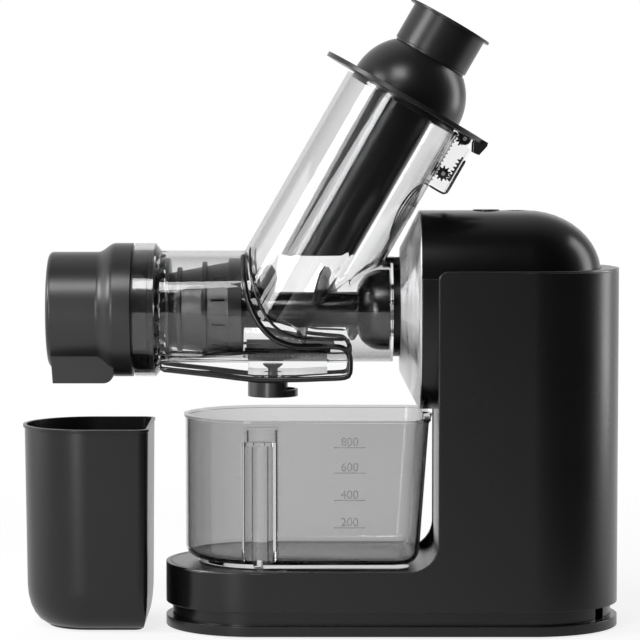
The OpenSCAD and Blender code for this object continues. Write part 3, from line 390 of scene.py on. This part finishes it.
def swept(name, points, radius, finish, body, sides=8, tip=0.35):
    """A round bead along points, drawn in at both ends to a share of its radius."""
    last = len(points) - 1
    bm = bmesh.new()
    rings = []
    side = Vector((0, 1, 0))
    for i, p in enumerate(points):
        along = (points[min(i + 1, last)] - points[max(i - 1, 0)]).normalized()
        side = (side - along * side.dot(along)).normalized()
        up = along.cross(side)
        size = radius * (tip if i in (0, last) else 1.0)
        rings.append([bm.verts.new(p + (side * math.cos(a) + up * math.sin(a)) * size)
                      for a in (math.tau * k / sides for k in range(sides))])
    for ring, following in zip(rings, rings[1:]):
        for k in range(sides):
            after = (k + 1) % sides
            bm.faces.new((ring[k], ring[after], following[after], following[k]))
    bm.faces.new(rings[0][::-1])
    bm.faces.new(rings[-1])
    bmesh.ops.recalc_face_normals(bm, faces=bm.faces)
    for face in bm.faces:
        face.smooth = True
    piece(name, closed_mesh(name, bm), finish, body)


def smooth_line(points, count, fine=12):
    """Points at equal steps of a Catmull-Rom curve through the given points."""
    pts = [Vector(p) for p in points]
    pts = [pts[0] * 2 - pts[1]] + pts + [pts[-1] * 2 - pts[-2]]
    dense = []
    for i in range(1, len(pts) - 2):
        a, b, c, d = pts[i - 1:i + 3]
        for k in range(fine):
            t = k / fine
            dense.append(0.5 * ((2 * b) + (c - a) * t + (2 * a - 5 * b + 4 * c - d) * t * t
                                + (3 * b - a - 3 * c + d) * t ** 3))
    dense.append(pts[-2])
    steps = [0.0]
    for a, b in zip(dense, dense[1:]):
        steps.append(steps[-1] + (b - a).length)
    out = []
    for k in range(count):
        want = steps[-1] * k / (count - 1)
        j = max(1, next((n for n, v in enumerate(steps) if v >= want - 1e-9), len(steps) - 1))
        part = (want - steps[j - 1]) / max(steps[j] - steps[j - 1], 1e-9)
        out.append(dense[j - 1].lerp(dense[j], part))
    return out


def scattered(name, controls, finish, wire):
    """Copies of one form on points, as plain geometry from a node tree.

    The function wire joins the tree's controls to the nodes that make the points and the form,
    and gives back their two outputs and that of the copies' rotation, or None where they aren't turned.
    """
    tree, start, end, values = geometry_tree(name, controls)
    place = add_node(tree, "GeometryNodeInstanceOnPoints")
    real = add_node(tree, "GeometryNodeRealizeInstances")
    paint = add_node(tree, "GeometryNodeSetMaterial", {"Material": finish})
    link = tree.links.new
    for socket, output in zip(("Points", "Instance", "Rotation"), wire(tree, start.outputs)):
        if output is not None:
            link(output, place.inputs[socket])
    link(place.outputs[0], real.inputs[0])
    link(real.outputs[0], paint.inputs["Geometry"])
    link(paint.outputs[0], end.inputs[0])
    source = bpy.data.objects.new(name + "_source", bpy.data.meshes.new(name + "_source"))
    modifier = source.modifiers.new(name, "NODES")
    modifier.node_group = tree
    for key, value in values.items():
        modifier[key] = value
    mesh = plain_mesh(source)
    mesh.name = name
    return mesh


# ---------------------------------------------------------------- drum and feed tube

# The feed tube leans towards the column, and its axis meets the drum's axis at TUBE_X
AXIS_Z = 0.194
TUBE_X = -0.02245
TUBE_R = 0.0389
LEAN = math.radians(30)
DRUM_R = 0.0363
# The trough under the drum has flat sides below this height
TROUGH_HALF, TROUGH_TOP = 0.0262, 0.1733
SPOUT_X = -0.02924


def bead(name, points, count, radius):
    """A dark bead on the clear drum, along a smooth line through points."""
    swept(name, smooth_line(points, count), radius, smoke_bead, "drum")


def on_saddle(x, z, out=0.0003):
    """Distance from the middle plane to the outer skin of tube or drum, whichever stands out more."""
    across = (x - TUBE_X) * math.cos(LEAN) - (z - AXIS_Z) * math.sin(LEAN)
    tube = math.sqrt(max(TUBE_R ** 2 - across ** 2, 0))
    drum = math.sqrt(max(DRUM_R ** 2 - (z - AXIS_Z) ** 2, 0))
    if z < TROUGH_TOP:
        return max(TROUGH_HALF, drum) + out
    return max(tube, drum) + out


# Dark seam where the tube's sleeve meets the drum, as X and Z from the tube's left edge down round
# the trough. The step beside its first part is set off towards the column and upwards
SEAM = [(-0.0470, 0.2285), (-0.0462, 0.2140), (-0.0425, 0.1990), (-0.0360, 0.1868), (-0.0280, 0.1790),
        (-0.0190, 0.1752), (-0.0120, 0.1740), (0.0000, 0.1738), (0.0110, 0.1734), (0.0152, 0.1715),
        (0.0176, 0.1675), (0.0180, 0.1620), (0.0174, 0.1566), (0.0140, 0.1545), (0.0000, 0.1538),
        (-0.0153, 0.1533), (-0.0393, 0.1533), (-0.0650, 0.1562), (-0.0970, 0.1597)]
STEP_X, STEP_Z, STEP_LENGTH = 0.0042, 0.0045, 9
STEP = [(x + STEP_X, z + STEP_Z) for x, z in SEAM[:STEP_LENGTH]]
for label, sign in SIDES:
    bead("sleeve_seam_" + label, [(x, sign * on_saddle(x, z), z) for x, z in SEAM], 110, 0.0018)
    bead("sleeve_step_" + label, [(x, sign * on_saddle(x, z), z) for x, z in STEP], 44, 0.0009)

# Dark frame along the sieve's upper edges
RIM = [(-0.0700, 0.0215, 0.1690), (-0.0480, 0.0245, 0.1702), (0.0060, 0.0245, 0.1702)]
for label, sign in SIDES:
    bead("sieve_rim_" + label, [(x, sign * y, z) for x, y, z in RIM], 16, 0.0012)


def in_tube(across, along, y):
    """A point given in the feed tube's own frame."""
    return (TUBE_X + across * math.cos(LEAN) + along * math.sin(LEAN), y,
            AXIS_Z - across * math.sin(LEAN) + along * math.cos(LEAN))


# Edges of the clear interlock box, given across and along the tube: its outer side, lower and upper
# end and half width. The lower corner is rounded through the points set off in BOX_CORNER
BOX_OUT, BOX_LOW, BOX_TOP, BOX_HALF = 0.0502, 0.1104, 0.1345, 0.0081
BOX_CORNER = ((-0.0030, 0.0), (-0.0012, 0.0006), (0.0, 0.0026))
BOX_EDGE = [(TUBE_R, BOX_LOW), *((BOX_OUT + a, BOX_LOW + l) for a, l in BOX_CORNER),
            (BOX_OUT, 0.5 * (BOX_LOW + BOX_TOP)), (BOX_OUT, BOX_TOP)]
for label, sign in SIDES:
    bead("interlock_edge_" + label, [in_tube(a, l, sign * BOX_HALF) for a, l in BOX_EDGE], 30, 0.0006)

# The curved guide that the interlock rod runs down in: ribs side by side across its width, each
# drawn further in to the guide's root and further down than the one before
GUIDE = [(0.0377, 0.1108), (0.0320, 0.1050), (0.0300, 0.0900), (0.0322, 0.0750), (0.0352, 0.0680)]
GUIDE_ROOT, GUIDE_DROP, GUIDE_HALF, GUIDE_RIBS = 0.0378, 0.004, 0.0062, 4
for rib in range(GUIDE_RIBS):
    part = rib / GUIDE_RIBS
    bead(f"rod_guide_{rib + 1}",
         [in_tube(a + (GUIDE_ROOT - a) * part, l - GUIDE_DROP * part, GUIDE_HALF * (2 * part - 1))
          for a, l in GUIDE], 28, 0.00055)

# Slanted ribs round the drum's front, where the pulp cap's bayonet thread runs
THREAD_X0, THREAD_X1, THREAD_R = -0.1005, -0.0945, 0.0318
THREAD_RIBS, THREAD_RIB, THREAD_SLANT = 22, 0.0026, math.radians(32)


def ring_of_ribs(tree, given):
    """Upright bars on a circle, each turned to face outwards and then slanted."""
    ring = add_node(tree, "GeometryNodeMeshCircle")
    rib = add_node(tree, "GeometryNodeMeshCube")
    extent = add_node(tree, "ShaderNodeCombineXYZ")
    side = add_node(tree, "GeometryNodeInputPosition")
    turn = add_node(tree, "FunctionNodeAlignEulerToVector", axis="X", pivot_axis="Z")
    slant = add_node(tree, "FunctionNodeRotateEuler", space="LOCAL")
    slant.inputs["Rotate By"].default_value = (THREAD_SLANT, 0, 0)
    link = tree.links.new
    link(given["Count"], ring.inputs["Vertices"])
    link(given["Radius"], ring.inputs["Radius"])
    for control, axis in (("Rib size", "X"), ("Rib size", "Y"), ("Length", "Z")):
        link(given[control], extent.inputs[axis])
    link(extent.outputs[0], rib.inputs["Size"])
    link(side.outputs[0], turn.inputs["Vector"])
    link(turn.outputs[0], slant.inputs["Rotation"])
    return ring.outputs[0], rib.outputs[0], slant.outputs[0]


mesh = scattered("thread_ribs", {"Count": THREAD_RIBS, "Radius": THREAD_R,
                                 "Length": THREAD_X1 - THREAD_X0, "Rib size": THREAD_RIB},
                 smoke_bead, ring_of_ribs)
mesh.transform(Matrix.Translation(((THREAD_X0 + THREAD_X1) / 2, 0, AXIS_Z))
               @ Matrix.Rotation(math.pi / 2, 4, "Y"))
piece("thread_ribs", mesh, smoke_bead, "drum")

# Thin dark plugs along both edges of the sieve, in rows at angles from its lowest line: painted shade
# for its fine holes
HOLES, HOLE_STEP, HOLE_R, HOLE_DEPTH = 20, 0.0023, 0.0007, 0.0002
HOLE_ANGLES = (-44.5, -40.0, -35.5, 35.5, 40.0, 44.5)
HOLES_IN = 0.004
sieve_points = [v.co for v in nodes["juice_sieve"].data.vertices]
sieve_end = min(v.x for v in sieve_points)
sieve_r = AXIS_Z - min(v.z for v in sieve_points)


def row_of_plugs(tree, given):
    """Shallow round plugs at equal steps along X."""
    row = add_node(tree, "GeometryNodeMeshLine")
    plug = add_node(tree, "GeometryNodeMeshCylinder", {"Vertices": 10, "Depth": HOLE_DEPTH})
    spread = add_node(tree, "ShaderNodeCombineXYZ")
    link = tree.links.new
    link(given["Count"], row.inputs["Count"])
    link(given["Step"], spread.inputs["X"])
    link(spread.outputs[0], row.inputs["Offset"])
    link(given["Radius"], plug.inputs["Radius"])
    return row.outputs[0], plug.outputs["Mesh"], None


# The plugs are painted shade: dark discs on the sieve's face where its holes look dark
hole_shade_plugs = bmesh.new()
for turn in HOLE_ANGLES:
    mesh = scattered("hole_shade_row", {"Count": HOLES, "Step": HOLE_STEP, "Radius": HOLE_R},
                     seal_rubber, row_of_plugs)
    mesh.transform(Matrix.Translation((sieve_end + HOLES_IN, 0, AXIS_Z))
                   @ Matrix.Rotation(math.radians(turn), 4, "X")
                   @ Matrix.Translation((0, 0, -sieve_r)))
    hole_shade_plugs.from_mesh(mesh)
piece("sieve_hole_shade", closed_mesh("sieve_hole_shade", hole_shade_plugs), seal_rubber, "drum")

# ---------------------------------------------------------------- side panels' lip, a painted highlight

# The foot's plan has half-round ends. The column's front and top, the tray and the two corners of
# the raised panel are those of the shell
shell_points = [v.co for v in nodes["body_shell"].data.vertices]
foot_low, foot_high = min(v.x for v in shell_points), max(v.x for v in shell_points)
panel_top = max(v.z for v in shell_points)
half_w = max(v.y for v in shell_points)
COLUMN_L, TRAY_Z, TRAY_CORNER_R, TOP_CORNER_R = 0.112, 0.0395, 0.018, 0.005
column_x = foot_high - COLUMN_L
# The lip, a lighter bead that paints the edge's highlight, starts and ends a little short of the foot's
# ends, and lies in from the panel's edge
LIP_START, LIP_END = 0.004, 0.002
LIP_R, LIP_IN, LIP_INSET = 0.0010, 0.0010, 0.0008


def plan_half_width(x):
    """Half the width of the foot's plan at a place along it."""
    past = max(foot_low + half_w - x, x - (foot_high - half_w), 0)
    return math.sqrt(max(half_w ** 2 - past ** 2, 0))


def straight(start, end, steps):
    """Points at equal steps of a straight line, with both ends."""
    return [tuple(a + (b - a) * k / steps for a, b in zip(start, end)) for k in range(steps + 1)]


def arc(centre, radius, start, end, steps):
    """Points at equal steps of an arc between two angles in degrees, with both ends."""
    turns = (math.radians(start + (end - start) * k / steps) for k in range(steps + 1))
    return [(centre[0] + radius * math.cos(a), centre[1] + radius * math.sin(a)) for a in turns]


def panel_outline(inset):
    """The side panel's outline in side view, from the tray up the column and along its top."""
    tray_corner = (column_x - TRAY_CORNER_R, TRAY_Z + TRAY_CORNER_R)
    top_corner = (column_x + TOP_CORNER_R, panel_top - TOP_CORNER_R)
    tray = straight((foot_low + LIP_START, TRAY_Z - inset), (tray_corner[0], TRAY_Z - inset), 12)
    front = straight((column_x + inset, tray_corner[1]), (column_x + inset, top_corner[1]), 10)
    top = straight((top_corner[0], panel_top - inset), (foot_high - LIP_END, panel_top - inset), 14)
    return (tray[:-1] + arc(tray_corner, TRAY_CORNER_R + inset, -90, 0, 10) + front[1:-1]
            + arc(top_corner, TOP_CORNER_R - inset, 180, 90, 6) + top[1:])


# A lighter bead along the panel's rounded edge on each side: painted highlight where the edge catches
# light
for label, sign in SIDES:
    points = [(x, sign * (plan_half_width(x) - LIP_IN), z) for x, z in panel_outline(LIP_INSET)]
    swept("panel_lip_highlight_" + label, smooth_line(points, 170), LIP_R, painted_edge_highlight, "base")

# ---------------------------------------------------------------- drip stop's stem

# Ridged stem that stands in the spout, as radius and height
STEM = [(0.0, 0.1472), (0.0044, 0.1472), (0.0044, 0.1502), (0.0034, 0.1510), (0.0034, 0.1526),
        (0.0046, 0.1534), (0.0046, 0.1548), (0.0030, 0.1560), (0.0030, 0.1578), (0.0050, 0.1592),
        (0.0062, 0.1604), (0.0062, 0.1610), (0.0, 0.1612)]
STEM_GAP = 0.00001


def turned_mesh(name, outline, x, steps=40):
    """An outline of radii and heights turned about an upright axis at a place along X."""
    bm = bmesh.new()
    profile = [bm.verts.new((r, 0, z)) for r, z in outline]
    lines = [bm.edges.new(pair) for pair in zip(profile, profile[1:])]
    bmesh.ops.spin(bm, geom=profile + lines, cent=(0, 0, 0), axis=(0, 0, 1), angle=math.tau,
                   steps=steps, use_duplicate=False)
    bmesh.ops.remove_doubles(bm, verts=bm.verts, dist=STEM_GAP)
    bmesh.ops.recalc_face_normals(bm, faces=bm.faces)
    bmesh.ops.translate(bm, verts=bm.verts, vec=(x, 0, 0))
    return closed_mesh(name, bm)


piece("drip_stem", turned_mesh("drip_stem", STEM, SPOUT_X), auger_dark, "drip")

# ---------------------------------------------------------------- jug's graduations

MARK_X, MARK_Y = 0.0175, -0.0495
LINE_SIZE = (0.019, 0.0004, 0.0005)
NUMBER_SIZE, NUMBER_DEPTH, NUMBER_UP = 0.0072, 0.0002, 0.0011
MARKS = ((0.0659, "200"), (0.0825, "400"), (0.0990, "600"), (0.1143, "800"))
for level, (z, label) in enumerate(MARKS, 1):
    bm = bmesh.new()
    bmesh.ops.create_cube(bm, size=1, matrix=Matrix.Translation((MARK_X, MARK_Y, z))
                          @ Matrix.Diagonal((*LINE_SIZE, 1)))
    piece(f"jug_line_{level}", closed_mesh("jug_line", bm), line_grey, "jug")
    words = bpy.data.curves.new("jug_number", "FONT")
    words.body = label
    words.size = NUMBER_SIZE
    words.extrude = NUMBER_DEPTH
    words.align_x = "CENTER"
    mesh = plain_mesh(bpy.data.objects.new("jug_number_source", words))
    mesh.transform(Matrix.Translation((MARK_X, MARK_Y, z + NUMBER_UP))
                   @ Matrix.Rotation(math.pi / 2, 4, "X"))
    piece(f"jug_number_{level}", mesh, line_grey, "jug")

# ---------------------------------------------------------------- studio

# Light from all round, as places from the camera's side to the backdrop and levels: dark to white
BACKDROP = [(0.0, 0.03), (0.33, 0.05), (0.42, 0.16), (0.50, 0.42), (0.62, 0.85), (0.76, 1.0)]
FLOOR_HALF, FLOOR_Z = 6, -0.0003


def light_world():
    """A world that the camera sees as plain white, and that lights the object by the backdrop."""
    world = bpy.data.worlds.new("studio")
    scene.world = world
    world.use_nodes = True
    tree = world.node_tree
    tree.nodes.clear()
    link = tree.links.new
    out = add_node(tree, "ShaderNodeOutputWorld")
    mix = add_node(tree, "ShaderNodeMixShader")
    soft = add_node(tree, "ShaderNodeBackground")
    white = add_node(tree, "ShaderNodeBackground", {"Color": (1, 1, 1, 1), "Strength": 1.0})
    path = add_node(tree, "ShaderNodeLightPath")
    coord = add_node(tree, "ShaderNodeTexCoord")
    split = add_node(tree, "ShaderNodeSeparateXYZ")
    ramp = add_node(tree, "ShaderNodeValToRGB")
    while len(ramp.color_ramp.elements) < len(BACKDROP):
        ramp.color_ramp.elements.new(0.5)
    for element, (place, level) in zip(ramp.color_ramp.elements, BACKDROP):
        element.position = place
        element.color = (level, level, level, 1)
    link(coord.outputs["Generated"], split.inputs[0])
    link(remap(tree, split.outputs["Y"], 0.0, 1.0, low_in=-1.0, high_in=1.0), ramp.inputs[0])
    link(ramp.outputs[0], soft.inputs["Color"])
    # The right-hand side is flagged off, apart from the backdrop straight behind
    flag = remap(tree, split.outputs["X"], 0.9, 0.4, low_in=-0.35, high_in=0.5)
    behind = remap(tree, split.outputs["Y"], 0.0, 1.0, low_in=0.6, high_in=0.9)
    link(combine(tree, "MAXIMUM", flag, behind), soft.inputs["Strength"])
    link(path.outputs["Is Camera Ray"], mix.inputs[0])
    link(soft.outputs[0], mix.inputs[1])
    link(white.outputs[0], mix.inputs[2])
    link(mix.outputs[0], out.inputs[0])


def floor_finish():
    """A matt floor that takes the shadow, and glows for the rays that would see it."""
    mat, tree, shader = new_finish("studio_floor")
    link = tree.links.new
    shader.inputs["Base Color"].default_value = (0.86, 0.86, 0.86, 1)
    shader.inputs["Roughness"].default_value = 0.9
    glow = add_node(tree, "ShaderNodeEmission")
    mix = add_node(tree, "ShaderNodeMixShader")
    path = add_node(tree, "ShaderNodeLightPath")
    camera_ray, clear_ray, gloss_ray = (path.outputs[f"Is {kind} Ray"]
                                        for kind in ("Camera", "Transmission", "Glossy"))
    space = add_node(tree, "ShaderNodeTexCoord")
    reach = add_node(tree, "ShaderNodeVectorMath", operation="LENGTH")
    place = add_node(tree, "ShaderNodeSeparateXYZ")
    link(space.outputs["Object"], reach.inputs[0])
    link(space.outputs["Object"], place.inputs[0])
    # Near the object the glow gives way a little to the shadow
    seen = combine(tree, "MAXIMUM", combine(tree, "MAXIMUM", camera_ray, clear_ray), gloss_ray)
    fade = remap(tree, reach.outputs["Value"], 0.80, 1.0, low_in=0.18, high_in=0.75)
    link(combine(tree, "MULTIPLY", seen, fade), mix.inputs[0])
    # Gloss sees a black card in place of the floor's near right-hand side
    card = combine(tree, "MULTIPLY",
                   remap(tree, place.outputs["X"], 0.0, 0.95, low_in=0.0, high_in=0.35),
                   remap(tree, place.outputs["Y"], 1.0, 0.0, low_in=-0.15, high_in=0.05))
    cut = combine(tree, "MULTIPLY", gloss_ray, card)
    link(combine(tree, "SUBTRACT", 1.0, cut), glow.inputs["Strength"])
    link(shader.outputs[0], mix.inputs[1])
    link(glow.outputs[0], mix.inputs[2])
    link(mix.outputs[0], tree.nodes["Material Output"].inputs[0])
    return mat


def lay_floor():
    """A wide floor just under the feet."""
    corners = [(x * FLOOR_HALF, y * FLOOR_HALF, FLOOR_Z)
               for x, y in ((-1, -1), (1, -1), (1, 1), (-1, 1))]
    mesh = bpy.data.meshes.new("studio_floor")
    mesh.from_pydata(corners, [], [(0, 1, 2, 3)])
    mesh.materials.append(floor_finish())
    floor = bpy.data.objects.new("studio_floor", mesh)
    scene.collection.objects.link(floor)


def softbox(name, place, target, size, power):
    """A lamp of a width and height in metres and a power in watts, turned to a target."""
    data = bpy.data.lights.new(name, "AREA")
    data.shape = "RECTANGLE"
    data.size, data.size_y = size
    data.energy = power
    lamp = bpy.data.objects.new(name, data)
    lamp.location = place
    lamp.rotation_euler = turned_to(place, target)
    scene.collection.objects.link(lamp)


light_world()
lay_floor()
softbox("key_softbox", (-1.3, -0.55, 0.95), (0, 0, 0.2), (0.6, 0.6), 17)
softbox("front_strip", (-0.75, -1.45, 0.35), (0, 0, 0.2), (0.3, 1.0), 10)
softbox("front_top_softbox", (-0.36, -1.02, 1.43), (-0.1, 0, 0.2), (0.6, 0.5), 12)
softbox("left_softbox", (-1.4, 0.1, 0.4), (-0.1, 0, 0.2), (0.9, 1.2), 6)
softbox("right_softbox", (1.25, 0.42, 0.45), (0.1, 0, 0.2), (0.4, 1.4), 9)
